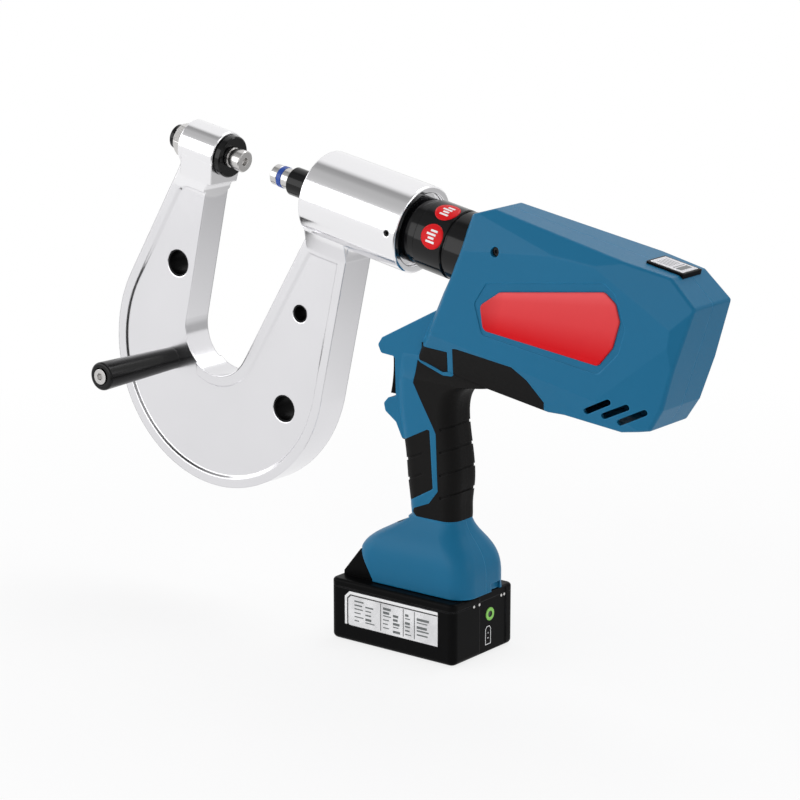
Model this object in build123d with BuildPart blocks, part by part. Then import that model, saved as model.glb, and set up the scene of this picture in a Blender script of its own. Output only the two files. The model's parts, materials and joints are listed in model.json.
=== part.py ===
# Battery hydraulic riveter: a C-frame head that swivels on a pistol-grip pump body.
# +Z is up, the nose points to -X, and the origin is the middle of the battery's underside.
import os
from math import cos, radians, sin, tan

from build123d import *

os.makedirs("parts", exist_ok=True)

# Clearances
FIT = 0.05
GAP = 0.3

# Tool axis, the line of the ram
PITCH = 11.0
AXIS_HEIGHT = 317.0

# C-frame, in the tool's own directions: u to the rear along the axis, v up from it
FRAME_THICKNESS = 30.0
BOWL_U = -164.0
BOWL_V = -153.0
BOWL_RADIUS = 106.5
THROAT_U = -169.0
THROAT_V = -137.0
THROAT_RADIUS = 33.5
FRONT_LEAN = 20.0
REAR_LEAN = 1.7
THROAT_FRONT_LEAN = 1.5
THROAT_REAR_LEAN = 20.4
RIM = 7.5
POCKET_DEPTH = 2.0
POCKET_RUN = 1.6
POCKET_TOP_FRONT = -30.0
POCKET_TOP_REAR = -44.0
FRAME_HOLES = ((-218.4, -94.3, 10.8), (-93.4, -173.3, 10.8), (-91.4, -94.3, 7.0))
BUSH_WALL = 1.2
BUSH_SET_BACK = 0.6

# Anvil end of the C-frame
BOSS_FRONT = -230.0
BOSS_REAR = -194.0
BOSS_RADIUS = 18.5
ANVIL_RADIUS = 8.0
ANVIL_PITCH = 1.5
COLLAR_RADIUS = 16.5
COLLAR_LENGTH = 6.0
DIE_RADIUS = 8.5
DIE_LENGTH = 12.0
NUT_ACROSS_FLATS = 24.0
NUT_LENGTH = 10.0
END_CAP_RADIUS = 9.6
END_CAP_LENGTH = 5.0
ANVIL_TRAVEL = 1.5

# Barrel and ram
BARREL_FRONT = -93.0
BARREL_RADIUS = 33.5
BORE_RADIUS = 24.0
END_WALL = 12.0
ROD_RADIUS = 11.0
ROD_END = -125.0
PUNCH_RADIUS = 8.0
PUNCH_TIP = -143.6
PUNCH_SHANK = 5.0
SHANK_LENGTH = 18.0
SEAL_DEPTH = 2.5
SPRING_WIRE = 1.6
SPRING_TURNS = 4
PISTON_LENGTH = 20.0
PISTON_REAR = -20.0
NECK_NOSE = 16.0
RECESS_RADIUS = 28.5
RECESS_DEPTH = 4.0

# Swivel neck
NECK_RADIUS = 26.5
NECK_STEP_RADIUS = 25.0
NECK_STEP = 11.0
NECK_GROOVE = 37.0
NECK_END = 62.0
NECK_TAIL_RADIUS = 22.0
HOUSING_FRONT = 46.0

# Side handle
HANDLE_INSET = 53.6
HANDLE_TURN = 202.2
SIDE_GRIP_LENGTH = 80.0
SIDE_GRIP_BASE = 9.0
SIDE_GRIP_END = 11.2
SIDE_BOLT = 4.0
SIDE_BOLT_HEAD = 6.0
SIDE_BOLT_SINK = 8.0
SIDE_GRIP_CUP = 3.0

# Housing
BODY_HALF = 30.0
WALL = 2.6
BEAK_HALF = 14.0
GRIP_HALF = 17.0
GRIP_SKIN = 2.0
BODY_ROUND = 3.0
BEAK_ROUND = 2.5
BEAK_ROUND_X = -7.0
GROOVE_WIDTH = 2.0
GROOVE_DEPTH = 0.8
GROOVE_RUN = 45.0
GROOVE_SLOPE = 24.0
BOTTOM_HALF = 17.5
FLARE_TOP = -62.0
BODY_BOTTOM = -90.0
ROOF_FRONT = (71.0, 41.0)
ROOF_REAR = (227.0, 40.5)
TAIL_TOP = (251.0, 25.5)
TAIL_BOTTOM = (242.0, -52.0)

# Side plates, display window and vents
PLATE_DEPTH = 1.2
PLATE_THICKNESS = 2.0
PLATE_ROUND = 5.0
RECESS_STEP = 0.6
WINDOW_FRONT = 199.0
WINDOW_REAR = 230.0
WINDOW_HALF = 11.5
WINDOW_FLOOR = 38.8
WINDOW_TOP = 42.4
WINDOW_RIM = 1.8
VENT_WIDTH = 4.5
VENTS = (((191.0, -66.5), 28.0, 37.5), ((206.0, -65.0), 27.0, 36.5), ((220.0, -64.5), 28.0, 37.5))

# Housing screws: side-view places, and how far out from the middle each head sits
SCREW_RADIUS = 1.9
SCREW_HEAD = 3.3
SCREW_HEAD_HEIGHT = 2.2
SCREW_BOSS = 4.6
DRIVE_RADIUS = 1.4
DRIVE_DEPTH = 1.2
BODY_SCREWS = ((229.0, 12.0, 23.0), (229.0, -42.0, 21.0), (140.0, -60.0, 24.0))
GRIP_SCREWS = ((-14.5, 182.0, 11.0), (2.0, 238.0, 11.0), (-22.0, 78.0, 19.0), (45.0, 70.0, 19.0))
PUMP_SCREW = (86.0, 15.0)
PUMP_SCREW_SEAT = 25.5

# Trigger and release button
TRIGGER_Z = 206.2
TRIGGER_HEIGHT = 29.4
TRIGGER_HALF = 7.0
TRIGGER_REAR = -4.0
TRIGGER_HIGH_X = -21.8
TRIGGER_MIDDLE_X = -21.9
TRIGGER_LOW_X = -24.2
TRIGGER_SPRING_RADIUS = 3.0
SMALL_WIRE = 0.5
TRIGGER_TRAVEL = 6.0
FLANGE_HALF = 8.2
SWITCH_FRONT = 3.0
SWITCH_REAR = 26.0
SWITCH_HALF = 10.2
BUTTON_BACK = -13.0
BUTTON_TRAVEL = 1.5

# Pump, gears and motor, along the tool axis
PUMP_HALF = 22.0
PUMP_END = 132.0
CHAMBER_RADIUS = 14.0
CAM_U = 120.0
CAM_LENGTH = 10.0
CAM_RADIUS = 8.0
CAM_THROW = 1.5
CAM_BEARING = 11.0
CAM_SHAFT = 5.0
PLUNGER_RADIUS = 4.0
GEARBOX_END = 152.0
GEARBOX_RADIUS = 21.5
CAN_RADIUS = 21.0
CAN_END = 206.0
BELL_END = 210.0
MOTOR_SHAFT = 3.0
CORE_RADIUS = 16.0
FAN_RADIUS = 18.0
FAN_FRONT = 211.0
FAN_LENGTH = 6.0
RESERVOIR_FRONT = 76.0
RESERVOIR_REAR = 126.0
RESERVOIR_DEPTH = 30.0
BOARD_THICKNESS = 1.6

# Foot and battery
BATTERY_LENGTH = 117.0
CASE_HEIGHT = 42.0
LID_HEIGHT = 6.0
CASE_WALL = 2.2
CASE_ROUND = 4.0
LID_ROUND = 2.5
BUTTON_WALL = 5.5
BATTERY_CORNER = 5.5
FOOT_GAP = 0.6
FOOT_HALF = 29.0
FOOT_FLOOR = 58.0
FOOT_ROOM_X = 8.0
FOOT_ROOM_LENGTH = 50.0
FOOT_ROOM_HALF = 14.0
NOTCH_PLACE = (60.0, 12.0)
NOTCH_DEPTH = 5.0
NOTCH_WIDTH = 12.0
NOTCH_HEIGHT = 6.7
RAIL_HALF = 17.0
RAIL_LIP = 3.0
RAIL_HEIGHT = 8.0
RAIL_NECK = 4.0
RAIL_FRONT = -22.0
RAIL_REAR = 47.0
CELL_RADIUS = 9.15
CELL_LENGTH = 65.0
CELL_END_ROOM = 3.3
BATTERY_WIDTH = CELL_LENGTH + 2 * (CELL_END_ROOM + CASE_WALL)
CELL_PITCH = 18.6
LABEL_DEPTH = 0.5
LABEL_THICKNESS = 0.6
PANEL_LOW = -5.0
PANEL_HIGH = 29.0
PANEL_DEPTH = 0.8
CHARGE_BUTTON = (8.6, 30.0)
CHARGE_BUTTON_RADIUS = 5.0
LATCH_HALF = 25.0
LATCH_FRONT = -55.5
LATCH_TRAVEL = 3.0
LATCH_CLEAR = 0.8
LATCH_KNEE = 51.0
LATCH_PEAK = (-39.4, 71.0)
LATCH_BACK_Z = 50.0
LATCH_SPRINGS = ((-41.0, -12.0), (-41.0, 12.0))
LATCH_SPRING_RADIUS = 2.8
LATCH_SPRING_ROOM = 8.0

along = (cos(radians(PITCH)), 0, -sin(radians(PITCH)))
tool = Plane(origin=(0, 0, AXIS_HEIGHT), x_dir=along, z_dir=(0, -1, 0))
tool_axis = Axis(tool.origin, tool.x_dir)
upright = Plane(origin=(0, 0, 0), x_dir=(1, 0, 0), z_dir=(0, -1, 0))


def across(u):
    """The plane square to the tool axis at u, with its x to +Y and its y up."""
    return Plane(origin=tool.from_local_coords((u, 0, 0)), x_dir=(0, 1, 0), z_dir=tool.x_dir)


def keep(piece, name):
    """Label a finished piece and write it out."""
    piece.part.label = name
    export_step(piece.part, f"parts/{name}.step")


def band(start, end, outer, inner=0.0, bevel=0.0):
    """One step of a turned profile, from start to end along the axis."""
    corners = [(start, outer), (end, outer)]
    if bevel:
        corners = [
            (start, outer - bevel), (start + bevel, outer),
            (end - bevel, outer), (end, outer - bevel),
        ]
    with BuildLine() as profile:
        Polyline((start, inner), *corners, (end, inner), close=True)
    make_face(profile.edges())


def lean_point(u, v, radius, lean, side):
    """Where a line that leans from the vertical touches a circle, on its front or rear."""
    a = radians(lean)
    return (u + side * radius * cos(a), v - side * radius * sin(a))


def up_line(start, lean, v):
    """The point at height v on the leaning line through start."""
    return (start[0] + (v - start[1]) * tan(radians(lean)), v)


handle_reach = BOWL_RADIUS - HANDLE_INSET
HANDLE = (
    BOWL_U + handle_reach * cos(radians(HANDLE_TURN)),
    BOWL_V + handle_reach * sin(radians(HANDLE_TURN)),
)
frame_top = -12.0
neck_inner = (BOSS_REAR - 5.6, -28.0)
bowl_front = lean_point(BOWL_U, BOWL_V, BOWL_RADIUS, FRONT_LEAN, -1)
bowl_rear = lean_point(BOWL_U, BOWL_V, BOWL_RADIUS, REAR_LEAN, 1)
throat_front = lean_point(THROAT_U, THROAT_V, THROAT_RADIUS, THROAT_FRONT_LEAN, -1)
throat_rear = lean_point(THROAT_U, THROAT_V, THROAT_RADIUS, THROAT_REAR_LEAN, 1)


def frame_outline():
    """The C of the frame, seen from the side."""
    with BuildLine() as outline:
        front_top = up_line(bowl_front, FRONT_LEAN, frame_top)
        rear_top = up_line(bowl_rear, REAR_LEAN, frame_top)
        inner_rear_top = up_line(throat_rear, THROAT_REAR_LEAN, frame_top)
        Polyline(rear_top, bowl_rear)
        ThreePointArc(bowl_rear, (BOWL_U, BOWL_V - BOWL_RADIUS), bowl_front)
        Polyline(bowl_front, front_top, (BOSS_REAR, frame_top), neck_inner, throat_front)
        ThreePointArc(throat_front, (THROAT_U, THROAT_V - THROAT_RADIUS), throat_rear)
        Polyline(throat_rear, inner_rear_top, rear_top)
    make_face(outline.edges())


def pocket_outline(rim):
    """The shallow pocket inside the rim, open to the throat along the front arm."""
    outer = BOWL_RADIUS - rim
    inner = THROAT_RADIUS + rim
    open_u = throat_front[0] + THROAT_RADIUS / 3
    rear_low = lean_point(BOWL_U, BOWL_V, outer, REAR_LEAN, 1)
    front_low = lean_point(BOWL_U, BOWL_V, outer, FRONT_LEAN, -1)
    inner_low = lean_point(THROAT_U, THROAT_V, inner, THROAT_REAR_LEAN, 1)
    top_rear = POCKET_TOP_REAR + RIM - rim
    top_front = POCKET_TOP_FRONT + RIM - rim
    rear_top = up_line(rear_low, REAR_LEAN, top_rear)
    front_top = up_line(front_low, FRONT_LEAN, top_front)
    inner_top = up_line(inner_low, THROAT_REAR_LEAN, top_rear)
    run_in = radians(250)
    inner_start = (THROAT_U + inner * cos(run_in), THROAT_V + inner * sin(run_in))
    with BuildLine() as outline:
        Polyline(rear_top, rear_low)
        ThreePointArc(rear_low, (BOWL_U, BOWL_V - outer), front_low)
        Polyline(front_low, front_top, (open_u, top_front), (open_u, THROAT_V), inner_start)
        ThreePointArc(inner_start, (THROAT_U, THROAT_V - inner), inner_low)
        Polyline(inner_low, inner_top, rear_top)
    pocket = make_face(outline.edges())
    in_front = THROAT_U - THROAT_RADIUS
    arch = pocket.vertices().filter_by(lambda p: p.Y > top_front - 0.01 and p.X < in_front)
    rear_arch = pocket.vertices().filter_by(lambda p: abs(p.Y - top_rear) < 0.01)
    fillet(arch, 12)
    fillet(rear_arch, 11)


def cheek(half_top, half_low, top, low):
    """The tapered saddle that carries a round boss on the flat arm."""
    with BuildLine() as outline:
        Polyline((-half_top, top), (half_top, top), (half_low, low), (-half_low, low), close=True)
    make_face(outline.edges())


with BuildPart() as c_frame:
    with BuildSketch(tool):
        frame_outline()
    extrude(amount=FRAME_THICKNESS / 2, both=True)
    with BuildSketch(across(BOSS_FRONT + 4)):
        cheek(BOSS_RADIUS * 0.95, FRAME_THICKNESS / 2, -5.8, -23)
    extrude(amount=BOSS_REAR - BOSS_FRONT - 4)
    with BuildSketch(across(BARREL_FRONT + 0.5)):
        cheek(BARREL_RADIUS * 0.64, FRAME_THICKNESS / 2, -BARREL_RADIUS * 0.765, -41)
    extrude(amount=38.5)
    for side in (1, -1):
        with BuildSketch(tool.offset(side * FRAME_THICKNESS / 2)):
            pocket_outline(RIM)
        with BuildSketch(tool.offset(side * (FRAME_THICKNESS / 2 - POCKET_DEPTH))):
            pocket_outline(RIM + POCKET_RUN)
        loft(ruled=True, mode=Mode.SUBTRACT)
    with BuildSketch(tool):
        band(BOSS_FRONT, BOSS_REAR, BOSS_RADIUS, bevel=0.8)
        band(BARREL_FRONT, 0, BARREL_RADIUS, bevel=1.0)
    revolve(axis=tool_axis)
    with BuildSketch(tool):
        band(BOSS_FRONT - 1, BOSS_REAR + 1, ANVIL_RADIUS + FIT)
        band(BARREL_FRONT - 1, BARREL_FRONT + END_WALL + 1, ROD_RADIUS + 4)
        band(BARREL_FRONT + END_WALL, 1, BORE_RADIUS)
        band(-RECESS_DEPTH, 1, RECESS_RADIUS)
    revolve(axis=tool_axis, mode=Mode.SUBTRACT)
    for u, v, radius in FRAME_HOLES:
        with BuildSketch(tool):
            with Locations((u, v)):
                Circle(radius)
        extrude(amount=FRAME_THICKNESS, both=True, mode=Mode.SUBTRACT)
    with BuildSketch(tool.offset(SIDE_BOLT_SINK - FRAME_THICKNESS / 2)):
        with Locations(HANDLE):
            Circle(SIDE_BOLT + FIT)
    extrude(amount=FRAME_THICKNESS, mode=Mode.SUBTRACT)
    with BuildSketch(tool.offset(BORE_RADIUS)):
        with Locations((-8, 0)):
            Circle(2.5)
    extrude(amount=BARREL_RADIUS, mode=Mode.SUBTRACT)
keep(c_frame, "c_frame")

with BuildPart() as frame_bushes:
    half = FRAME_THICKNESS / 2 - POCKET_DEPTH - BUSH_SET_BACK
    for u, v, radius in FRAME_HOLES:
        with BuildSketch(tool):
            with Locations((u, v)):
                Circle(radius)
                Circle(radius - BUSH_WALL, mode=Mode.SUBTRACT)
        extrude(amount=half, both=True)
keep(frame_bushes, "frame_bushes")

with BuildPart() as barrel_set_screw:
    with BuildSketch(tool.offset(BORE_RADIUS + 3)):
        with Locations((-8, 0)):
            Circle(2.5)
    extrude(amount=BARREL_RADIUS - BORE_RADIUS - 4)
    with BuildSketch(tool.offset(BARREL_RADIUS - 1)):
        with Locations((-8, 0)):
            RegularPolygon(1.3, 6)
    extrude(amount=-1.5, mode=Mode.SUBTRACT)
keep(barrel_set_screw, "barrel_set_screw")

collar_rear = BOSS_REAR + GAP + COLLAR_LENGTH
nut_front = BOSS_FRONT - GAP - NUT_LENGTH
cap_rear = nut_front - GAP - ANVIL_TRAVEL

with BuildPart() as anvil_shaft:
    with BuildSketch(tool):
        band(cap_rear - END_CAP_LENGTH + 2, collar_rear + GAP, ANVIL_RADIUS)
        band(collar_rear + GAP, collar_rear + GAP + 3, DIE_RADIUS - 1.2)
    revolve(axis=tool_axis)
    with BuildSketch(tool):
        band(collar_rear - 8, collar_rear + GAP + 4, 4)
    revolve(axis=tool_axis, mode=Mode.SUBTRACT)
keep(anvil_shaft, "anvil_shaft")

die_start = collar_rear + GAP + 3
with BuildPart() as anvil_die:
    with BuildSketch(tool):
        band(collar_rear - 8, die_start, 4 - FIT)
        band(die_start, die_start + DIE_LENGTH - 3, DIE_RADIUS, bevel=0.7)
    revolve(axis=tool_axis)
    with BuildSketch(across(die_start + DIE_LENGTH - 3)):
        Circle(3.2)
    extrude(amount=-3, taper=15, mode=Mode.SUBTRACT)
keep(anvil_die, "anvil_die")

with BuildPart() as anvil_collar:
    with BuildSketch(tool):
        band(BOSS_REAR + GAP, collar_rear, COLLAR_RADIUS, ANVIL_RADIUS + FIT, bevel=1.0)
    revolve(axis=tool_axis)
keep(anvil_collar, "anvil_collar")

with BuildPart() as anvil_lock_nut:
    with BuildSketch(across(nut_front)):
        RegularPolygon(NUT_ACROSS_FLATS / 2, 6, major_radius=False)
        Circle(ANVIL_RADIUS + FIT, mode=Mode.SUBTRACT)
    extrude(amount=NUT_LENGTH)
    with BuildSketch(tool):
        band(nut_front, nut_front + NUT_LENGTH, NUT_ACROSS_FLATS * 0.57, bevel=1.4)
    revolve(axis=tool_axis, mode=Mode.INTERSECT)
keep(anvil_lock_nut, "anvil_lock_nut")

with BuildPart() as anvil_end_cap:
    with BuildSketch(tool):
        band(cap_rear - END_CAP_LENGTH, cap_rear, END_CAP_RADIUS, bevel=1.0)
    revolve(axis=tool_axis)
    with BuildSketch(tool):
        band(cap_rear - END_CAP_LENGTH + 2, cap_rear + 1, ANVIL_RADIUS)
    revolve(axis=tool_axis, mode=Mode.SUBTRACT)
keep(anvil_end_cap, "anvil_end_cap")

shank_end = ROD_END + SHANK_LENGTH
piston_front = PISTON_REAR - PISTON_LENGTH

with BuildPart() as ram:
    with BuildSketch(tool):
        band(ROD_END, piston_front, ROD_RADIUS, bevel=0.8)
        band(piston_front, PISTON_REAR, BORE_RADIUS - FIT)
    revolve(axis=tool_axis)
    with BuildSketch(tool):
        band(ROD_END - 1, shank_end, PUNCH_SHANK + FIT)
        band(piston_front + 8, piston_front + 13, BORE_RADIUS, BORE_RADIUS - SEAL_DEPTH)
    revolve(axis=tool_axis, mode=Mode.SUBTRACT)
keep(ram, "ram")

with BuildPart() as piston_seal:
    with BuildSketch(tool):
        band(piston_front + 8, piston_front + 13, BORE_RADIUS - FIT, BORE_RADIUS - SEAL_DEPTH)
    revolve(axis=tool_axis)
keep(piston_seal, "piston_seal")

ring_front = PUNCH_TIP + 6.5
ring_rear = ring_front + 4.5
with BuildPart() as punch:
    with BuildSketch(tool):
        band(PUNCH_TIP, ring_front, PUNCH_RADIUS, bevel=0.6)
        band(ring_front, ring_rear, PUNCH_RADIUS - 0.6)
        band(ring_rear, ROD_END, PUNCH_RADIUS)
        band(ROD_END, shank_end, PUNCH_SHANK)
    revolve(axis=tool_axis)
    with BuildSketch(across(PUNCH_TIP)):
        Circle(3.4)
    extrude(amount=2.0, taper=25, mode=Mode.SUBTRACT)
keep(punch, "punch")

with BuildPart() as punch_ring:
    with BuildSketch(tool):
        band(ring_front, ring_rear, PUNCH_RADIUS + 0.4, PUNCH_RADIUS - 0.6, bevel=0.4)
    revolve(axis=tool_axis)
keep(punch_ring, "punch_ring")

with BuildPart() as rod_bush:
    with BuildSketch(tool):
        band(BARREL_FRONT + 0.5, BARREL_FRONT + END_WALL, ROD_RADIUS + 4, ROD_RADIUS + FIT)
    revolve(axis=tool_axis)
keep(rod_bush, "rod_bush")

spring_front = BARREL_FRONT + END_WALL + GAP
spring_length = piston_front - GAP - spring_front
with BuildPart() as return_spring:
    with BuildLine():
        coil = Helix(
            pitch=(spring_length - 2 * SPRING_WIRE) / SPRING_TURNS,
            height=spring_length - 2 * SPRING_WIRE, radius=ROD_RADIUS + 6,
            center=tool.from_local_coords((spring_front + SPRING_WIRE, 0, 0)), direction=along,
        )
    with BuildSketch(Plane(origin=coil @ 0, z_dir=coil % 0)):
        Circle(SPRING_WIRE)
    sweep(path=coil)
keep(return_spring, "return_spring")

neck_front = -NECK_NOSE
with BuildPart() as swivel_neck:
    with BuildSketch(tool):
        band(neck_front, GAP - RECESS_DEPTH, BORE_RADIUS - FIT)
        band(GAP - RECESS_DEPTH, NECK_STEP, NECK_STEP_RADIUS, bevel=0.6)
        band(NECK_STEP, NECK_GROOVE, NECK_RADIUS, bevel=0.8)
        band(NECK_GROOVE, NECK_GROOVE + 2, NECK_RADIUS - 1.5)
        band(NECK_GROOVE + 2, HOUSING_FRONT + 12, NECK_RADIUS, bevel=0.8)
        band(HOUSING_FRONT + 12, NECK_END, NECK_TAIL_RADIUS)
    revolve(axis=tool_axis)
    with BuildSketch(tool):
        band(neck_front - 1, NECK_END + 1, 3)
        band(neck_front + 5, neck_front + 9, BORE_RADIUS, BORE_RADIUS - SEAL_DEPTH)
    revolve(axis=tool_axis, mode=Mode.SUBTRACT)
keep(swivel_neck, "swivel_neck")

with BuildPart() as neck_seal:
    with BuildSketch(tool):
        band(neck_front + 5, neck_front + 9, BORE_RADIUS - FIT, BORE_RADIUS - SEAL_DEPTH)
    revolve(axis=tool_axis)
keep(neck_seal, "neck_seal")

floor_y = FRAME_THICKNESS / 2 - POCKET_DEPTH
with BuildPart() as side_handle_grip:
    with BuildSketch(tool.offset(floor_y)):
        with Locations(HANDLE):
            Circle(SIDE_GRIP_BASE)
    with BuildSketch(tool.offset(floor_y + SIDE_GRIP_LENGTH)):
        with Locations(HANDLE):
            Circle(SIDE_GRIP_END)
    loft()
    fillet(side_handle_grip.edges().filter_by(GeomType.CIRCLE).sort_by(Axis.Y)[0], 2)
    with BuildSketch(tool.offset(floor_y)):
        with Locations(HANDLE):
            Circle(SIDE_BOLT + FIT)
    extrude(amount=SIDE_GRIP_LENGTH, mode=Mode.SUBTRACT)
    with BuildSketch(tool.offset(floor_y + SIDE_GRIP_LENGTH)):
        with Locations(HANDLE):
            Circle(SIDE_BOLT_HEAD + 1)
    extrude(amount=-SIDE_GRIP_CUP, mode=Mode.SUBTRACT)
keep(side_handle_grip, "side_handle_grip")

cup_y = floor_y + SIDE_GRIP_LENGTH - SIDE_GRIP_CUP
with BuildPart() as side_handle_bolt:
    with BuildSketch(tool.offset(SIDE_BOLT_SINK - FRAME_THICKNESS / 2)):
        with Locations(HANDLE):
            Circle(SIDE_BOLT)
    extrude(amount=FRAME_THICKNESS / 2 - SIDE_BOLT_SINK + cup_y)
    with BuildSketch(tool.offset(cup_y)):
        with Locations(HANDLE):
            Circle(SIDE_BOLT_HEAD)
    extrude(amount=SIDE_GRIP_CUP + 1)
    with BuildSketch(tool.offset(cup_y + SIDE_GRIP_CUP + 1)):
        with Locations(HANDLE):
            RegularPolygon(3.2, 6)
    extrude(amount=-2.5, mode=Mode.SUBTRACT)
keep(side_handle_bolt, "side_handle_bolt")


BODY_PROFILE = (
    (52, 31), ROOF_FRONT, ROOF_REAR, TAIL_TOP, TAIL_BOTTOM, (235, -70), (211, -80),
    (161, -85.5), (146, -89), (86, -91), (26, BODY_BOTTOM), (26, -80), (30, -60),
    (37.5, -46.2), (42.6, -30.4), (51, -14),
)
FACETS = (
    ((61.5, 29.5, 22.5), (60, 8, BODY_HALF), (136, 28, BODY_HALF)),
    ((71, 41, 17), (189, 40.5, 25), (136, 28, BODY_HALF)),
    ((198, 40, 25), (251, 25.5, 24), (238, 7, BODY_HALF)),
    ((238, 7, BODY_HALF), (241, -48, BODY_HALF), (251, 25.5, 24)),
    ((239, -5, BODY_HALF), (190, -62, BODY_HALF), (241, -48, BODY_HALF - 4)),
    ((0, FLARE_TOP, BODY_HALF), (100, FLARE_TOP, BODY_HALF), (0, BODY_BOTTOM, BOTTOM_HALF)),
    ((58, 8, BODY_HALF), (53, -14, BODY_HALF), (52, 31, 15)),
)
GRIP_SECTIONS = (
    (96, 0, 39.5, GRIP_HALF - 1.5, 11), (112, -3.5, 41, GRIP_HALF - 0.5, 11),
    (130, -5.5, 42.5, GRIP_HALF, 11), (150, -7.5, 41.5, GRIP_HALF, 11),
    (170, -11, 38.5, GRIP_HALF, 11), (188, -14, 37.5, GRIP_HALF, 11),
)
GRIP_TOP = ((205, -15, 39, GRIP_HALF - 0.5, 11), (226, -15, 41, BEAK_HALF, 9))
GRIP_FLARE = (
    (197, -14.6, 39.8, GRIP_HALF - 0.2, 11), (203, -15, 44.5, GRIP_HALF - 0.4, 11),
    (207, -15, 54, GRIP_HALF - 0.5, 11), (209.5, -15, 72, GRIP_HALF - 1, 11),
    (216, -15, 84, GRIP_HALF - 2, 10), (226, -15, 86, BEAK_HALF, 9),
)
LID_TOP = CASE_HEIGHT + LID_HEIGHT
RAIL_NECK_TOP = LID_TOP + RAIL_NECK
RAIL_TOP = LID_TOP + RAIL_HEIGHT
FOOT_SECTIONS = (
    (LID_TOP + FOOT_GAP, -39, 61, FOOT_HALF, 15), (62, -43.5, 60.5, FOOT_HALF, 15),
    (74, -42.5, 58.5, FOOT_HALF - 0.5, 16), (84, -32, 53, 25.5, 16), (92, -18, 46.5, 21, 15),
    (104, -1, 40.5, 15, 11),
)
BEAK_PROFILE = (
    (42, 279), (28, 264.5), (-27, 235), (-31, 229), (-28, 223), (-15, 222), (-14, 191),
    (-21, 190), (-25.5, 185), (-24, 179), (-14, 172), (-8, 160), (20, 160), (45, 235),
)
LABEL_OUTLINE = ((-40, 13.5), (-44.5, 18), (-44.5, 36), (-40, 40.3), (44, 40.3), (44, 13.5))
FOOT_CUT = ((-60, 72), (-38.5, 72), (-25, 49.6), (-25, 40), (-60, 40))
BUTTON_OUTLINE = ((10, 236.6), (42.2, 235.4), (36.8, 217.9), (30.3, 216.8), (11, 223))
RUBBER_OUTLINE = (
    (6.8, 223), (4, 205.2), (22.3, 175.2), (25.5, 169.3), (27.5, 125.5), (19.1, 114.9),
    (4.6, 108.9), (3, 105.6), (7, 102.8), (62, 103), (62, 196), (121.5, 196), (125.6, 209.6),
    (114.6, 225.3), (103, 233.8), (52.2, 239.6), (48.4, 239.2), (41.8, 217.5), (38.6, 214.7),
    (30.6, 214.4), (9.8, 221),
)
PAD_OUTLINE = (
    (-25, 161), (-4.1, 160.6), (17.4, 171.6), (19.8, 171.2),
    (23, 127.4), (22, 126.2), (2, 114.9), (-20, 116.5),
)
GRIP_GROOVES = ((29, 172.9), (29, 155.3), (29, 137.8), (29, 120.3))
PAD_GROOVES = ((13, 152.6), (13, 136.9))
PLATE_OUTLINE = (
    (96.4, -11.8), (182, 16.5), (192.5, 11), (198.3, -0.1), (196.5, -20),
    (187.5, -36.6), (87.6, -43.8), (81.4, -26.7),
)
RECESS_OUTLINE = (
    (83.3, -9.3), (179.9, 22.4), (190, 17.5), (203.5, -4.3),
    (201.5, -23), (188.5, -42.5), (87, -47.5), (76, -27),
)


def facet(corners, side, inset):
    """A slanting cut of the body through three points, facing out and moved in by inset."""
    a, b, c = (tool.from_local_coords((u, v, side * w)) for u, v, w in corners)
    out = (b - a).cross(c - a).normalized()
    if out.dot(a - tool.from_local_coords((150, 0, 0))) < 0:
        out = -out
    return Plane(origin=a - out * inset, z_dir=out)


def outline_face(points, inset=0.0, rounded=0.0):
    """A closed face through the points, with rounded corners, drawn in by inset."""
    with BuildLine() as outline:
        Polyline(*points, close=True)
    face = make_face(outline.edges())
    if rounded:
        fillet(face.vertices(), rounded)
    if inset:
        offset(amount=-inset, kind=Kind.INTERSECTION)


def body_form(inset):
    """The wide faceted body that holds the pump and motor."""
    with BuildSketch(tool) as side_view:
        outline_face(BODY_PROFILE, inset)
    extrude(side_view.sketch, amount=BODY_HALF - inset, both=True)
    for corners in FACETS:
        for side in (1, -1):
            split(bisect_by=facet(corners, side, inset), keep=Keep.BOTTOM)


def rising_form(sections, inset=0.0):
    """A solid through rounded rectangles at rising heights, drawn in by inset."""
    faces = []
    for height, front, rear, half, corner in sections:
        with BuildSketch(Plane.XY.offset(height)) as section:
            with Locations(((front + rear) / 2, 0)):
                RectangleRounded(rear - front - 2 * inset, 2 * (half - inset), corner - inset)
        faces.append(section.sketch)
    loft(faces)


def rubber_skin(outline):
    """A rubber layer over the housing, inside an outline seen from the side."""
    with BuildSketch(upright) as side_view:
        outline_face(outline)
    extrude(side_view.sketch, amount=BODY_HALF + 5, both=True)
    add(outer_form.part, mode=Mode.INTERSECT)
    add(skin_form.part, mode=Mode.SUBTRACT)


def rubber_grooves(places, reach):
    """Slanting grooves cut a little way into the rubber, from places seen from the side."""
    with BuildPart() as grooves:
        for place in places:
            with BuildSketch(upright):
                with Locations(place):
                    Rectangle(GROOVE_RUN, GROOVE_WIDTH, GROOVE_SLOPE, (reach, Align.CENTER))
            extrude(amount=BODY_HALF, both=True)
        add(groove_core.part, mode=Mode.SUBTRACT)
    add(grooves.part, mode=Mode.SUBTRACT)


def side_disc(x, z, radius, low, high, mode=Mode.ADD):
    """A round pillar or hole along Y, from low to high, at a place seen from the side."""
    with BuildSketch(upright.offset(-low)) as disc:
        with Locations((x, z)):
            Circle(radius)
    extrude(disc.sketch, amount=low - high, mode=mode)


def at_side(u, v):
    """The world x and z of a place in the tool's own directions."""
    spot = tool.from_local_coords((u, v, 0))
    return (spot.X, spot.Z)


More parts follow.
